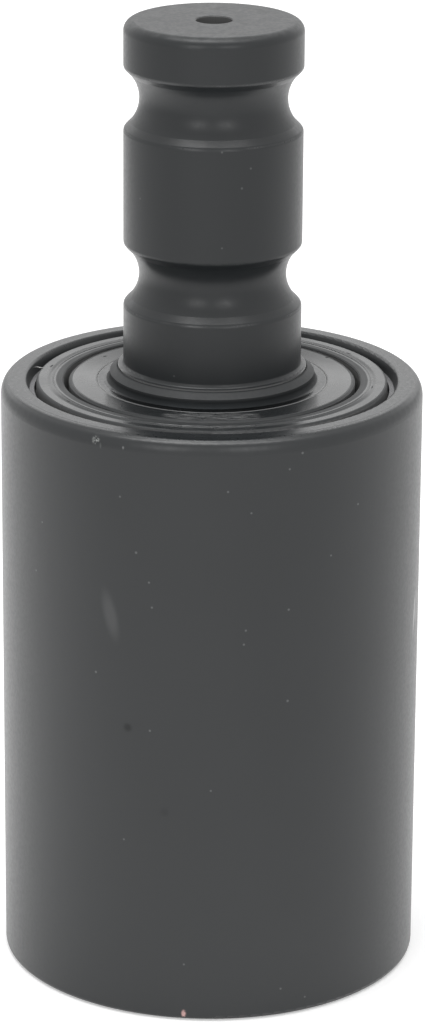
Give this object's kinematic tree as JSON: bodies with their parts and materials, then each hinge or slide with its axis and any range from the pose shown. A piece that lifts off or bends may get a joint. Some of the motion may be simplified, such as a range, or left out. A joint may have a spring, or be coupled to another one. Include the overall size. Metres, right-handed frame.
{
  "type": "excavator carrier roller",
  "caption": "Plain cylindrical track roller turning on bearings round a fixed shaft that sticks out of one end, with lock grooves turned round it and a face seal at its foot.",
  "frame": {"origin": "centre of the shell's lower rim, on which the roller stands", "axes": "+Z along the shaft, from the closed end towards the free end of the shaft"},
  "size_m": [0.1, 0.1, 0.23],
  "materials": {
    "painted_shell": "satin charcoal paint",
    "painted_shaft": "satin charcoal paint",
    "painted_collar": "satin charcoal paint",
    "painted_seal_parts": "satin charcoal paint over a turned face",
    "painted_cover": "satin charcoal paint",
    "spring_steel": "blued spring steel",
    "lapped_seal_iron": "lapped",
    "seal_rubber": "matt black",
    "bearing_steel": "ground and polished",
    "cage_brass": "machined",
    "turned_steel": "turned, oiled",
    "plated_plug": "zinc plated",
    "soft_washer": "soft, pressed flat"
  },
  "bodies": {
    "fixed_shaft": {"shaft": "painted_shaft", "shaft_collar": "painted_collar", "fixed_seal_seat": "painted_seal_parts", "fixed_seal_ring": "lapped_seal_iron", "fixed_seal_rubber": "seal_rubber", "shaft_rubber_ring": "seal_rubber", "seal_end_inner_race": "bearing_steel", "blind_end_inner_race": "bearing_steel", "bearing_spacer": "turned_steel", "lock_washer": "turned_steel", "lock_nut": "turned_steel"},
    "turning_shell": {"roller_shell": "painted_shell", "turning_seal_housing": "painted_seal_parts", "housing_snap_ring": "spring_steel", "housing_rubber_ring": "seal_rubber", "turning_seal_ring": "lapped_seal_iron", "turning_seal_rubber": "seal_rubber", "seal_end_outer_race": "bearing_steel", "blind_end_outer_race": "bearing_steel", "end_cover": "painted_cover", "cover_rubber_ring": "seal_rubber", "cover_circlip": "spring_steel", "filler_plug": "plated_plug", "plug_washer": "soft_washer"},
    "seal_end_ball_set": {"seal_end_cage": "cage_brass", "seal_end_balls": "bearing_steel"},
    "blind_end_ball_set": {"blind_end_cage": "cage_brass", "blind_end_balls": "bearing_steel"}
  },
  "joints": [
    {"name": "roller_spin", "type": "hinge", "parent": "fixed_shaft", "child": "turning_shell", "pos_m": [0, 0, 0.072], "axis": [0, 0, 1], "continuous": true},
    {"name": "seal_end_ball_travel", "type": "hinge", "parent": "fixed_shaft", "child": "seal_end_ball_set", "pos_m": [0, 0, 0.111], "axis": [0, 0, 1], "continuous": true},
    {"name": "blind_end_ball_travel", "type": "hinge", "parent": "fixed_shaft", "child": "blind_end_ball_set", "pos_m": [0, 0, 0.0335], "axis": [0, 0, 1], "continuous": true}
  ],
  "couplings": [
    {"joint": "seal_end_ball_travel", "follows": "roller_spin", "ratio": 0.5992},
    {"joint": "blind_end_ball_travel", "follows": "roller_spin", "ratio": 0.6039}
  ]
}
